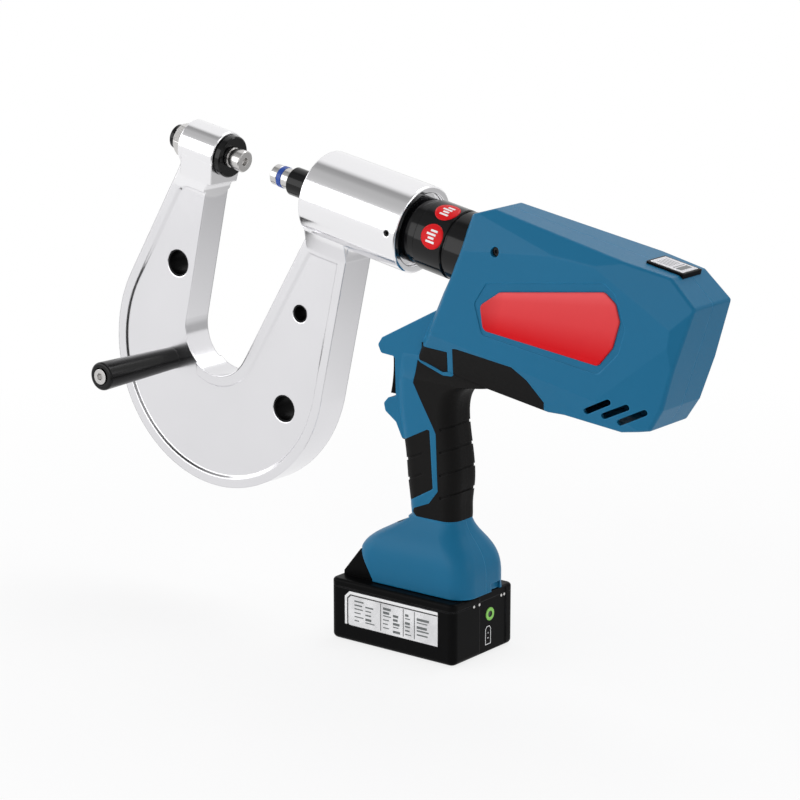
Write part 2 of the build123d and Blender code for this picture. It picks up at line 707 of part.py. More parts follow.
# Housing: two moulded halves, with rubber laid over the grip and the belly
with BuildPart() as outer_form:
    body_form(0)
    fillet(outer_form.edges(), BODY_ROUND)
    rising_form(GRIP_SECTIONS + GRIP_FLARE)
    rising_form(FOOT_SECTIONS)
    with BuildSketch(upright) as beak:
        outline_face(BEAK_PROFILE)
        fillet(beak.vertices().filter_by(lambda p: p.X < BEAK_ROUND_X), BEAK_ROUND)
    extrude(amount=BEAK_HALF, both=True)
    with BuildSketch(upright):
        outline_face(FOOT_CUT)
    extrude(amount=BODY_HALF, both=True, mode=Mode.SUBTRACT)

with BuildPart() as skin_form:
    body_form(GRIP_SKIN)
    raised_flare = tuple((height + GRIP_SKIN, *rest) for height, *rest in GRIP_FLARE)
    rising_form(GRIP_SECTIONS + raised_flare, GRIP_SKIN)

with BuildPart() as groove_core:
    rising_form(GRIP_SECTIONS + GRIP_FLARE, GROOVE_DEPTH)

with BuildPart() as hollow:
    body_form(WALL)
    rising_form(GRIP_SECTIONS + GRIP_TOP, WALL + GRIP_SKIN)
    with BuildSketch(Plane.XY.offset(FOOT_FLOOR)):
        with Locations((FOOT_ROOM_X, 0)):
            RectangleRounded(FOOT_ROOM_LENGTH, 2 * FOOT_ROOM_HALF, 8)
    extrude(amount=GRIP_SECTIONS[0][0] + 4 - FOOT_FLOOR)

with BuildPart() as grip_rubber:
    rubber_skin(RUBBER_OUTLINE)
with BuildPart() as pad_rubber:
    rubber_skin(PAD_OUTLINE)

seats = [(*at_side(u, v), head) for u, v, head in BODY_SCREWS] + list(GRIP_SCREWS)
pump_x, pump_z = at_side(*PUMP_SCREW)
window_middle = (WINDOW_FRONT + WINDOW_REAR) / 2
window_length = WINDOW_REAR - WINDOW_FRONT
with BuildPart() as shell:
    add(outer_form.part)
    add(hollow.part, mode=Mode.SUBTRACT)
    for x, z, head in seats:
        side_disc(x, z, SCREW_BOSS, -BODY_HALF, BODY_HALF)
    for low, high in ((-BODY_HALF + 1, -PUMP_HALF - FIT), (PUMP_HALF + FIT, BODY_HALF - 1)):
        side_disc(pump_x, pump_z, SCREW_BOSS, low, high)
    with BuildSketch(tool):
        with Locations((window_middle, WINDOW_FLOOR - 1.5)):
            Rectangle(window_length + 4, 3)
    extrude(amount=WINDOW_HALF + 3, both=True)
    add(outer_form.part, mode=Mode.INTERSECT)
    add(grip_rubber.part, mode=Mode.SUBTRACT)
    add(pad_rubber.part, mode=Mode.SUBTRACT)
    with BuildSketch(tool):
        band(HOUSING_FRONT - 20, HOUSING_FRONT + 12, NECK_RADIUS + FIT)
    revolve(axis=tool_axis, mode=Mode.SUBTRACT)
    with BuildSketch(tool):
        with Locations((window_middle, WINDOW_FLOOR + 5)):
            Rectangle(window_length + 2 * FIT, 10)
    extrude(amount=WINDOW_HALF + FIT, both=True, mode=Mode.SUBTRACT)
    for place, length, slant in VENTS:
        with BuildSketch(tool):
            with Locations(place):
                SlotOverall(length, VENT_WIDTH, rotation=slant)
        extrude(amount=BODY_HALF + 5, both=True, mode=Mode.SUBTRACT)
    with BuildSketch(upright):
        with Locations((TRIGGER_REAR - 8, TRIGGER_Z)):
            Rectangle(24, TRIGGER_HEIGHT + 2 * GAP)
    extrude(amount=TRIGGER_HALF + GAP, both=True, mode=Mode.SUBTRACT)
    channel = (
        (RAIL_HALF, LID_TOP - 4, RAIL_NECK_TOP),
        (RAIL_HALF + RAIL_LIP, RAIL_NECK_TOP, RAIL_TOP + 2 * GAP),
    )
    for half, low, high in channel:
        with BuildSketch(Plane.XY.offset(low - GAP)):
            with Locations((RAIL_REAR - 60 + GAP, 0)):
                Rectangle(120, 2 * (half + GAP))
        extrude(amount=high - low, mode=Mode.SUBTRACT)
    for side in (1, -1):
        for outline, depth in ((RECESS_OUTLINE, RECESS_STEP), (PLATE_OUTLINE, PLATE_DEPTH)):
            with BuildSketch(tool.offset(side * (BODY_HALF - depth))):
                outline_face(outline, rounded=PLATE_ROUND)
            extrude(amount=side * 10, mode=Mode.SUBTRACT)
    for x, z, head in seats:
        side_disc(x, z, SCREW_RADIUS + FIT, -head + 4, head, Mode.SUBTRACT)
        side_disc(x, z, SCREW_HEAD + 0.4, head, BODY_HALF + 5, Mode.SUBTRACT)
    for side in (1, -1):
        inner, outer = side * PUMP_HALF, side * BODY_HALF
        side_disc(pump_x, pump_z, SCREW_RADIUS + FIT, inner, outer, Mode.SUBTRACT)
        side_disc(pump_x, pump_z, SCREW_HEAD + 0.4, side * PUMP_SCREW_SEAT, outer + side * 5, Mode.SUBTRACT)
    with BuildSketch(Plane.XY.offset(LID_TOP)):
        with Locations(NOTCH_PLACE):
            Rectangle(NOTCH_DEPTH, NOTCH_WIDTH)
    extrude(amount=NOTCH_HEIGHT, mode=Mode.SUBTRACT)

button_face = upright.offset(-BUTTON_BACK)
with BuildPart() as release_button:
    with BuildSketch(button_face):
        outline_face(BUTTON_OUTLINE, GAP)
    extrude(amount=BODY_HALF)
    add(outer_form.part, mode=Mode.INTERSECT)
keep(release_button, "release_button")

for name, side in (("housing_left", Keep.TOP), ("housing_right", Keep.BOTTOM)):
    with BuildPart() as housing_half:
        add(shell.part)
        split(bisect_by=Plane.XZ, keep=side)
        if name == "housing_left":
            with BuildSketch(button_face.offset(-BUTTON_TRAVEL - GAP)):
                outline_face(BUTTON_OUTLINE)
            extrude(amount=BODY_HALF, mode=Mode.SUBTRACT)
    keep(housing_half, name)

rubber_parts = (
    ("grip_rubber", grip_rubber, GRIP_GROOVES, Align.MIN),
    ("grip_pad", pad_rubber, PAD_GROOVES, Align.MAX),
)
for name, rubber, places, reach in rubber_parts:
    for hand, side in (("left", Keep.TOP), ("right", Keep.BOTTOM)):
        with BuildPart() as rubber_half:
            add(rubber.part)
            rubber_grooves(places, reach)
            split(bisect_by=Plane.XZ, keep=side)
        keep(rubber_half, f"{name}_{hand}")

for name, side in (("side_plate_left", 1), ("side_plate_right", -1)):
    with BuildPart() as side_plate:
        with BuildSketch(tool.offset(side * (BODY_HALF - PLATE_DEPTH))):
            outline_face(PLATE_OUTLINE, FIT, PLATE_ROUND)
        extrude(amount=side * PLATE_THICKNESS)
        outer = side_plate.faces().sort_by(Axis.Y)[0 if side == 1 else -1]
        chamfer(outer.edges(), 0.6)
    keep(side_plate, name)

with BuildPart() as window_frame:
    with BuildSketch(tool):
        with Locations((window_middle, (WINDOW_FLOOR + WINDOW_TOP) / 2)):
            Rectangle(window_length, WINDOW_TOP - WINDOW_FLOOR)
    extrude(amount=WINDOW_HALF, both=True)
    with BuildSketch(tool):
        with Locations((window_middle, WINDOW_TOP)):
            Rectangle(window_length - 2 * WINDOW_RIM, 2 * (WINDOW_TOP - WINDOW_FLOOR - 1))
    extrude(amount=WINDOW_HALF - WINDOW_RIM, both=True, mode=Mode.SUBTRACT)
keep(window_frame, "window_frame")

with BuildPart() as window_panel:
    with BuildSketch(tool):
        with Locations((window_middle, (WINDOW_FLOOR + 1 + WINDOW_TOP + 0.3) / 2)):
            Rectangle(window_length - 2 * WINDOW_RIM - 2 * FIT, WINDOW_TOP - WINDOW_FLOOR - 0.7)
    extrude(amount=WINDOW_HALF - WINDOW_RIM - FIT, both=True)
keep(window_panel, "window_panel")

with BuildPart() as housing_screws:
    for x, z, head in seats:
        side_disc(x, z, SCREW_RADIUS, -head + 5, head)
        side_disc(x, z, SCREW_HEAD, head, head + SCREW_HEAD_HEIGHT)
        top = head + SCREW_HEAD_HEIGHT
        side_disc(x, z, DRIVE_RADIUS, top - DRIVE_DEPTH, top, Mode.SUBTRACT)
    for side in (1, -1):
        end = side * (PUMP_SCREW_SEAT + SCREW_HEAD_HEIGHT)
        side_disc(pump_x, pump_z, SCREW_RADIUS, side * (PUMP_HALF - 8), side * PUMP_SCREW_SEAT)
        side_disc(pump_x, pump_z, SCREW_HEAD, side * PUMP_SCREW_SEAT, end)
        side_disc(pump_x, pump_z, DRIVE_RADIUS, end - side * DRIVE_DEPTH, end, Mode.SUBTRACT)
keep(housing_screws, "housing_screws")

# Trigger, with the switch behind it
with BuildPart() as trigger:
    top = TRIGGER_Z + TRIGGER_HEIGHT / 2
    bottom = TRIGGER_Z - TRIGGER_HEIGHT / 2
    with BuildSketch(upright):
        with BuildLine() as outline:
            high, low = (TRIGGER_HIGH_X, top), (TRIGGER_LOW_X, bottom)
            Polyline(high, (TRIGGER_REAR, top), (TRIGGER_REAR, bottom), low)
            ThreePointArc(low, (TRIGGER_MIDDLE_X, TRIGGER_Z), high)
        make_face(outline.edges())
    extrude(amount=TRIGGER_HALF, both=True)
    with BuildSketch(upright):
        with Locations((TRIGGER_REAR - 2.4, TRIGGER_Z)):
            Rectangle(4.8, TRIGGER_HEIGHT - 6)
    extrude(amount=FLANGE_HALF, both=True)
    with BuildSketch(Plane(origin=(TRIGGER_REAR, 0, TRIGGER_Z), z_dir=(-1, 0, 0))):
        Circle(TRIGGER_SPRING_RADIUS + 1.2)
    extrude(amount=4, mode=Mode.SUBTRACT)
keep(trigger, "trigger")

with BuildPart() as switch_module:
    with BuildSketch(upright):
        with Locations(((SWITCH_FRONT + SWITCH_REAR) / 2, TRIGGER_Z)):
            Rectangle(SWITCH_REAR - SWITCH_FRONT, TRIGGER_HEIGHT - 8)
    extrude(amount=SWITCH_HALF, both=True)
keep(switch_module, "switch_module")

spring_room = SWITCH_FRONT - TRIGGER_REAR + 4
with BuildPart() as trigger_spring:
    with BuildLine():
        coil = Helix(
            pitch=(spring_room - 1.6) / 4, height=spring_room - 1.6, radius=TRIGGER_SPRING_RADIUS,
            center=(TRIGGER_REAR - 3.2, 0, TRIGGER_Z), direction=(1, 0, 0),
        )
    with BuildSketch(Plane(origin=coil @ 0, z_dir=coil % 0)):
        Circle(SMALL_WIRE)
    sweep(path=coil)
keep(trigger_spring, "trigger_spring")

# Pump block and what hangs on it
with BuildPart() as pump_block:
    with BuildSketch(across(NECK_END)):
        Rectangle(2 * PUMP_HALF, 2 * PUMP_HALF)
    extrude(amount=PUMP_END - NECK_END)
    chamfer(pump_block.edges().filter_by(tool_axis), 4)
    with BuildSketch(tool):
        band(NECK_END - 1, NECK_END + 20, 3)
        band(CAM_U - CAM_LENGTH / 2 - 9, CAM_U, CAM_SHAFT + FIT)
        band(CAM_U - CAM_LENGTH / 2 - 3, PUMP_END + 1, CHAMBER_RADIUS)
    revolve(axis=tool_axis, mode=Mode.SUBTRACT)
    with BuildSketch(tool):
        with Locations((CAM_U, -PUMP_HALF + 2 + 5)):
            Rectangle(2 * (PLUNGER_RADIUS + FIT), 10)
    extrude(amount=PLUNGER_RADIUS + FIT, both=True, mode=Mode.SUBTRACT)
    for side in (1, -1):
        inner, outer = side * (PUMP_HALF - 9), side * (PUMP_HALF + 1)
        side_disc(pump_x, pump_z, SCREW_RADIUS + FIT, inner, outer, Mode.SUBTRACT)
keep(pump_block, "pump_block")

plunger_seat = tool.from_local_coords((CAM_U, -PUMP_HALF + 2 + GAP, 0))
with BuildPart() as pump_plunger:
    with BuildSketch(Plane(origin=plunger_seat, z_dir=tool.y_dir)):
        Circle(PLUNGER_RADIUS)
    extrude(amount=PUMP_HALF - 2 - 2 * GAP - CAM_BEARING - CAM_THROW)
keep(pump_plunger, "pump_plunger")

valve_seat = Plane(origin=tool.from_local_coords((NECK_END + 7, -PUMP_HALF, 0)), z_dir=-tool.y_dir)
with BuildPart() as relief_valve:
    with BuildSketch(valve_seat):
        RegularPolygon(5.5, 6)
    extrude(amount=5)
    with BuildSketch(valve_seat.offset(5)):
        Circle(3.2)
    extrude(amount=9)
keep(relief_valve, "relief_valve")

with BuildPart() as oil_reservoir:
    with BuildSketch(across(RESERVOIR_FRONT)):
        with Locations((0, -PUMP_HALF - GAP - RESERVOIR_DEPTH / 2)):
            RectangleRounded(2 * PUMP_HALF - 8, RESERVOIR_DEPTH, 8)
    extrude(amount=RESERVOIR_REAR - RESERVOIR_FRONT)
    fillet(oil_reservoir.faces().sort_by(Axis.X)[0].edges(), 4)
    fillet(oil_reservoir.faces().sort_by(Axis.X)[-1].edges(), 4)
keep(oil_reservoir, "oil_reservoir")

with BuildPart() as control_board:
    with BuildSketch(across(NECK_END + 8)):
        with Locations((0, PUMP_HALF + BOARD_THICKNESS / 2)):
            Rectangle(32, BOARD_THICKNESS)
    extrude(amount=56)
    for u, width, height in ((NECK_END + 14, 22, 4), (NECK_END + 30, 12, 6), (NECK_END + 46, 26, 3)):
        with BuildSketch(across(u)):
            with Locations((0, PUMP_HALF + BOARD_THICKNESS + height / 2 - 0.2)):
                Rectangle(width, height)
        extrude(amount=10)
keep(control_board, "control_board")

# Motor, gears and eccentric drive
cam_start = CAM_U - CAM_LENGTH / 2
cam_middle = tool.from_local_coords((cam_start, -CAM_THROW, 0))
cam_plane = Plane(origin=cam_middle, x_dir=(0, 1, 0), z_dir=tool.x_dir)
with BuildPart() as eccentric_shaft:
    with BuildSketch(tool):
        band(cam_start - 8, PUMP_END + 9.5, CAM_SHAFT)
    revolve(axis=tool_axis)
    with BuildSketch(cam_plane):
        Circle(CAM_RADIUS)
    extrude(amount=CAM_LENGTH)
keep(eccentric_shaft, "eccentric_shaft")

with BuildPart() as cam_bearing:
    with BuildSketch(cam_plane.offset(0.5)):
        Circle(CAM_BEARING)
        Circle(CAM_RADIUS, mode=Mode.SUBTRACT)
    extrude(amount=CAM_LENGTH - 1)
keep(cam_bearing, "cam_bearing")

with BuildPart() as gearbox:
    with BuildSketch(tool):
        band(PUMP_END, GEARBOX_END, GEARBOX_RADIUS, bevel=1.0)
    revolve(axis=tool_axis)
    with BuildSketch(tool):
        band(PUMP_END - 1, PUMP_END + 10, CAM_SHAFT + FIT)
        band(GEARBOX_END - 8, GEARBOX_END + 1, MOTOR_SHAFT + FIT)
    revolve(axis=tool_axis, mode=Mode.SUBTRACT)
keep(gearbox, "gearbox")

with BuildPart() as motor_can:
    with BuildSketch(tool):
        band(GEARBOX_END, CAN_END, CAN_RADIUS)
    revolve(axis=tool_axis)
    with BuildSketch(tool):
        band(GEARBOX_END - 1, GEARBOX_END + 3, MOTOR_SHAFT + FIT)
        band(GEARBOX_END + 2, CAN_END + 1, CAN_RADIUS - 2.5)
    revolve(axis=tool_axis, mode=Mode.SUBTRACT)
keep(motor_can, "motor_can")

with BuildPart() as motor_end_bell:
    with BuildSketch(tool):
        band(CAN_END, BELL_END, CAN_RADIUS, MOTOR_SHAFT + FIT)
    revolve(axis=tool_axis)
keep(motor_end_bell, "motor_end_bell")

with BuildPart() as rotor:
    with BuildSketch(tool):
        band(GEARBOX_END - 7.5, FAN_FRONT + FAN_LENGTH, MOTOR_SHAFT)
        band(GEARBOX_END + 6, CAN_END - 6, CORE_RADIUS)
    revolve(axis=tool_axis)
keep(rotor, "rotor")

with BuildPart() as motor_fan:
    with BuildSketch(tool):
        band(FAN_FRONT, FAN_FRONT + FAN_LENGTH, 7)
        band(FAN_FRONT, FAN_FRONT + 1.2, FAN_RADIUS)
    revolve(axis=tool_axis)
    with BuildSketch(across(FAN_FRONT + 1)):
        with PolarLocations((FAN_RADIUS + 7) / 2, 8):
            Rectangle(FAN_RADIUS - 6, 1.2)
    extrude(amount=FAN_LENGTH - 1)
    with BuildSketch(tool):
        band(FAN_FRONT - 1, FAN_FRONT + FAN_LENGTH + 1, MOTOR_SHAFT)
    revolve(axis=tool_axis, mode=Mode.SUBTRACT)
keep(motor_fan, "motor_fan")

with BuildPart() as terminal_block:
    with BuildSketch(Plane.XY.offset(FOOT_FLOOR)):
        with Locations((FOOT_ROOM_X, 0)):
            Rectangle(34, 2 * FOOT_ROOM_HALF - 2 * GAP)
    extrude(amount=10)
keep(terminal_block, "terminal_block")

# Battery: case, lid with rails, cells, latch, button and label
button_y, button_z = CHARGE_BUTTON
panel_x = BATTERY_LENGTH / 2 - PANEL_DEPTH
rear_face = Plane(origin=(panel_x, 0, 0), x_dir=(0, 1, 0), z_dir=(1, 0, 0))
panel_middle = (PANEL_LOW + PANEL_HIGH) / 2


def panel_recess():
    """The shallow band down the rear of the battery."""
    with BuildSketch(rear_face) as band_face:
        with Locations((panel_middle, LID_TOP / 2 + 1.5)):
            Rectangle(PANEL_HIGH - PANEL_LOW, LID_TOP)
    extrude(band_face.sketch, amount=PANEL_DEPTH + 1, mode=Mode.SUBTRACT)


with BuildPart() as battery_case:
    with BuildSketch():
        RectangleRounded(BATTERY_LENGTH, BATTERY_WIDTH, BATTERY_CORNER)
    extrude(amount=CASE_HEIGHT)
    fillet(battery_case.faces().sort_by(Axis.Z)[0].edges(), CASE_ROUND)
    chamfer(battery_case.faces().sort_by(Axis.Z)[-1].edges(), 0.4)
    room = BATTERY_LENGTH - CASE_WALL - BUTTON_WALL
    with BuildSketch(Plane.XY.offset(CASE_WALL)):
        with Locations(((CASE_WALL - BUTTON_WALL) / 2, 0)):
            RectangleRounded(room, BATTERY_WIDTH - 2 * CASE_WALL, BATTERY_CORNER - CASE_WALL)
    extrude(amount=CASE_HEIGHT, mode=Mode.SUBTRACT)
    panel_recess()
    with BuildSketch(rear_face.offset(-3.5)):
        with Locations((button_y, button_z)):
            Circle(CHARGE_BUTTON_RADIUS + GAP)
    extrude(amount=5, mode=Mode.SUBTRACT)
    with BuildSketch(upright.offset(BATTERY_WIDTH / 2 - LABEL_DEPTH)):
        outline_face(LABEL_OUTLINE)
    extrude(amount=2, mode=Mode.SUBTRACT)
keep(battery_case, "battery_case")

with BuildPart() as battery_label:
    with BuildSketch(upright.offset(BATTERY_WIDTH / 2 - LABEL_DEPTH)):
        outline_face(LABEL_OUTLINE, FIT)
    extrude(amount=LABEL_THICKNESS)
keep(battery_label, "battery_label")

latch_back = FOOT_CUT[2][0] - LATCH_CLEAR
latch_floor = LID_TOP - 5
with BuildPart() as battery_lid:
    with BuildSketch(Plane.XY.offset(CASE_HEIGHT)):
        RectangleRounded(BATTERY_LENGTH, BATTERY_WIDTH, BATTERY_CORNER)
    extrude(amount=LID_HEIGHT)
    chamfer(battery_lid.faces().sort_by(Axis.Z)[0].edges(), 0.4)
    fillet(battery_lid.faces().sort_by(Axis.Z)[-1].edges(), LID_ROUND)
    rail = ((RAIL_HALF, LID_TOP, RAIL_NECK_TOP), (RAIL_HALF + RAIL_LIP, RAIL_NECK_TOP, RAIL_TOP))
    for half, low, high in rail:
        with BuildSketch(Plane.XY.offset(low)):
            with Locations(((RAIL_FRONT + RAIL_REAR) / 2, 0)):
                Rectangle(RAIL_REAR - RAIL_FRONT, 2 * half)
        extrude(amount=high - low)
    with BuildSketch(Plane.XY.offset(latch_floor)):
        with Locations(((LATCH_FRONT + latch_back) / 2, 0)):
            Rectangle(latch_back - LATCH_FRONT + 2 * GAP, 2 * (LATCH_HALF + GAP))
    extrude(amount=5, mode=Mode.SUBTRACT)
    panel_recess()
keep(battery_lid, "battery_lid")

latch_low = latch_floor + LATCH_TRAVEL + GAP
latch_outline = (
    (LATCH_FRONT, latch_low), (LATCH_FRONT, LATCH_KNEE), LATCH_PEAK,
    (latch_back, LATCH_BACK_Z), (latch_back, latch_low),
)
with BuildPart() as battery_latch:
    with BuildSketch(upright):
        outline_face(latch_outline)
    extrude(amount=LATCH_HALF, both=True)
    with BuildSketch(Plane.XY.offset(latch_low)):
        with Locations(*LATCH_SPRINGS):
            Circle(LATCH_SPRING_RADIUS + 1.2)
    extrude(amount=LATCH_SPRING_ROOM, mode=Mode.SUBTRACT)
keep(battery_latch, "battery_latch")

with BuildPart() as latch_springs:
    for x, y in LATCH_SPRINGS:
        with BuildLine():
            coil = Helix(
                pitch=2.3, height=latch_low + LATCH_SPRING_ROOM - latch_floor - 1.6,
                radius=LATCH_SPRING_RADIUS, center=(x, y, latch_floor + 0.8), direction=(0, 0, 1),
            )
        with BuildSketch(Plane(origin=coil @ 0, z_dir=coil % 0)):
            Circle(SMALL_WIRE)
        sweep(path=coil)
keep(latch_springs, "latch_springs")

with BuildPart() as battery_cells:
    for row in range(2):
        height = CASE_WALL + 0.1 + CELL_RADIUS + row * (2 * CELL_RADIUS + 0.1)
        for column in range(-2, 3):
            with BuildSketch(upright):
                with Locations((column * CELL_PITCH, height)):
                    Circle(CELL_RADIUS)
            extrude(amount=CELL_LENGTH / 2, both=True)
keep(battery_cells, "battery_cells")

with BuildPart() as charge_button:
    with BuildSketch(rear_face.offset(-2.3)):
        with Locations((button_y, button_z)):
            Circle(CHARGE_BUTTON_RADIUS)
    extrude(amount=2.7)
    with BuildSketch(rear_face.offset(0.4)):
        with Locations((button_y, button_z)):
            Circle(2.4)
    extrude(amount=-0.6, mode=Mode.SUBTRACT)
keep(charge_button, "charge_button")
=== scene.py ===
"""Looks of the battery-powered C-frame riveter: materials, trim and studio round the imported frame."""

import json
import math
import random

import bpy
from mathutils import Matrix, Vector


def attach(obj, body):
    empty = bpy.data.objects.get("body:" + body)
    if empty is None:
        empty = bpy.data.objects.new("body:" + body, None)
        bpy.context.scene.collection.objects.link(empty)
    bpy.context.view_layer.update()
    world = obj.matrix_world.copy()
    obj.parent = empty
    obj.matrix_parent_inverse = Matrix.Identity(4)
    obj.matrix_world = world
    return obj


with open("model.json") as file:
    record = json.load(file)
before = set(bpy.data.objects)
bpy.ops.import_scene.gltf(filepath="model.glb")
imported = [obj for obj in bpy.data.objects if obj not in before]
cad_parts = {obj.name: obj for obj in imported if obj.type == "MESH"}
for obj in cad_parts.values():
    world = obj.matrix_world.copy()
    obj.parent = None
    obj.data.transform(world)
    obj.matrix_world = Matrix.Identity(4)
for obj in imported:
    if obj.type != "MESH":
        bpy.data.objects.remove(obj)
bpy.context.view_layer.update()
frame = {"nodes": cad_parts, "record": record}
nodes = frame["nodes"]

# Camera
CAMERA_AT = Vector((1.236, -1.609, 0.694))
CAMERA_FORWARD = Vector((-0.59738, 0.76461, -0.24192))
LENS_MM, SENSOR_MM = 126.0, 36.0
CLIP_START, CLIP_END = 0.05, 60.0

camera_data = bpy.data.cameras.new("camera")
camera_data.lens = LENS_MM
camera_data.sensor_width = SENSOR_MM
camera_data.clip_start = CLIP_START
camera_data.clip_end = CLIP_END
camera = bpy.data.objects.new("camera", camera_data)
bpy.context.collection.objects.link(camera)
camera.rotation_mode = "QUATERNION"
camera.location = CAMERA_AT
camera.rotation_quaternion = CAMERA_FORWARD.to_track_quat("-Z", "Y")
bpy.context.scene.camera = camera
bpy.context.scene.view_settings.view_transform = "Standard"

# The tool's own directions: along its axis, up from it and out of its near side
LEAN = math.radians(11.0)
AXIS_Z = 0.317
AXIS_AT = (0.0, 0.0, AXIS_Z)
ALONG = Vector((math.cos(LEAN), 0.0, -math.sin(LEAN)))
UP = Vector((math.sin(LEAN), 0.0, math.cos(LEAN)))
OUT = Vector((0.0, -1.0, 0.0))


def on_tool(u, v, y=0.0):
    """The place u along the tool axis and v up from it, in metres."""
    return Vector((0.0, y, AXIS_Z)) + ALONG * u + UP * v


# Node helpers
class Tree:
    """A small writer of shader nodes: add() makes a node, and the others return a socket to build on."""

    def __init__(self, owner):
        owner.use_nodes = True
        self.nodes = owner.node_tree.nodes
        self.links = owner.node_tree.links
        self.nodes.clear()

    def add(self, kind, inputs=None, **settings):
        """A new node; an input that is a socket is linked, and any other sets the value."""
        node = self.nodes.new(kind)
        for key, value in settings.items():
            setattr(node, key, value)
        for key, value in (inputs or {}).items():
            if isinstance(value, bpy.types.NodeSocket):
                self.links.new(value, node.inputs[key])
            else:
                node.inputs[key].default_value = value
        return node

    def maths(self, operation, *values, clamp=False):
        inputs = dict(enumerate(values))
        return self.add("ShaderNodeMath", inputs, operation=operation, use_clamp=clamp).outputs[0]

    def vectors(self, operation, *values, gives="Vector"):
        inputs = dict(enumerate(values))
        return self.add("ShaderNodeVectorMath", inputs, operation=operation).outputs[gives]

    def ramp(self, value, stops):
        """A ramp through stops, each a position with a colour or a level of grey."""
        node = self.add("ShaderNodeValToRGB", {"Fac": value})
        while len(node.color_ramp.elements) < len(stops):
            node.color_ramp.elements.new(0.5)
        for element, (position, colour) in zip(node.color_ramp.elements, stops):
            element.position = position
            element.color = (*colour, 1.0) if isinstance(colour, tuple) else (colour, colour, colour, 1.0)
        return node.outputs["Color"]

    def span(self, value, low, high, to_low=0.0, to_high=1.0):
        """A value between low and high, brought to between to_low and to_high."""
        inputs = {"Value": value, "From Min": low, "From Max": high, "To Min": to_low, "To Max": to_high}
        return self.add("ShaderNodeMapRange", inputs).outputs["Result"]

    def mix(self, factor, first, second):
        """Two colours mixed, all of the second where the factor is 1."""
        node = self.add("ShaderNodeMix", data_type="RGBA")
        for name, kind, value in (("Factor", "VALUE", factor), ("A", "RGBA", first), ("B", "RGBA", second)):
            target = next(s for s in node.inputs if s.name == name and s.type == kind)
            if isinstance(value, bpy.types.NodeSocket):
                self.links.new(value, target)
            else:
                target.default_value = (*value, 1.0) if kind == "RGBA" else value
        return next(s for s in node.outputs if s.type == "RGBA")

    def noise(self, where, scale, detail=3.0, rough=0.5):
        inputs = {"Vector": where, "Scale": scale, "Detail": detail, "Roughness": rough}
        return self.add("ShaderNodeTexNoise", inputs).outputs["Fac"]

    def place(self, stretch=(1.0, 1.0, 1.0), turn=(0.0, 0.0, 0.0)):
        """Object coordinates in metres, stretched and turned."""
        where = self.add("ShaderNodeTexCoord").outputs["Object"]
        inputs = {"Vector": where, "Scale": stretch, "Rotation": turn}
        return self.add("ShaderNodeMapping", inputs).outputs["Vector"]

    def from_axis(self, centre, direction=None):
        """How far a point lies from a centre or, with a direction, from the line through it."""
        where = self.add("ShaderNodeTexCoord").outputs["Object"]
        offset = self.vectors("SUBTRACT", where, tuple(centre))
        if direction is not None:
            offset = self.vectors("CROSS_PRODUCT", offset, tuple(direction))
        return self.vectors("LENGTH", offset, gives="Value")

    def height_on(self, direction, centre=(0.0, 0.0, 0.0)):
        """How far a point lies from a centre, measured in one direction."""
        where = self.add("ShaderNodeTexCoord").outputs["Object"]
        offset = self.vectors("SUBTRACT", where, tuple(centre))
        return self.vectors("DOT_PRODUCT", offset, tuple(direction), gives="Value")


# What all the finishes share
TINT_FROM, TINT_TO = 0.3, 0.7
GLOSS_FROM, GLOSS_TO = 0.35, 0.65
STREAK_SHARE = 0.23
BEVEL_SAMPLES = 8
# How squarely the rounded normal faces the flat one: where the painted edge highlight starts, and where it
# is full
HIGHLIGHT_STARTS, HIGHLIGHT_FULL = 0.999, 0.97
# How much brighter the painted edge highlight is than the finish
HIGHLIGHT_BRIGHTENS = 1.9
# Noise that breaks the painted edge highlight into patches: its scale and its ramp
HIGHLIGHT_PATCH_SCALE = 90.0
HIGHLIGHT_PATCH_STOPS = [(0.35, 0.45), (0.62, 1.0)]


def shade(colour, factor):
    """A colour made darker or brighter, and no channel above 1."""
    return tuple(min(1.0, c * factor) for c in colour)


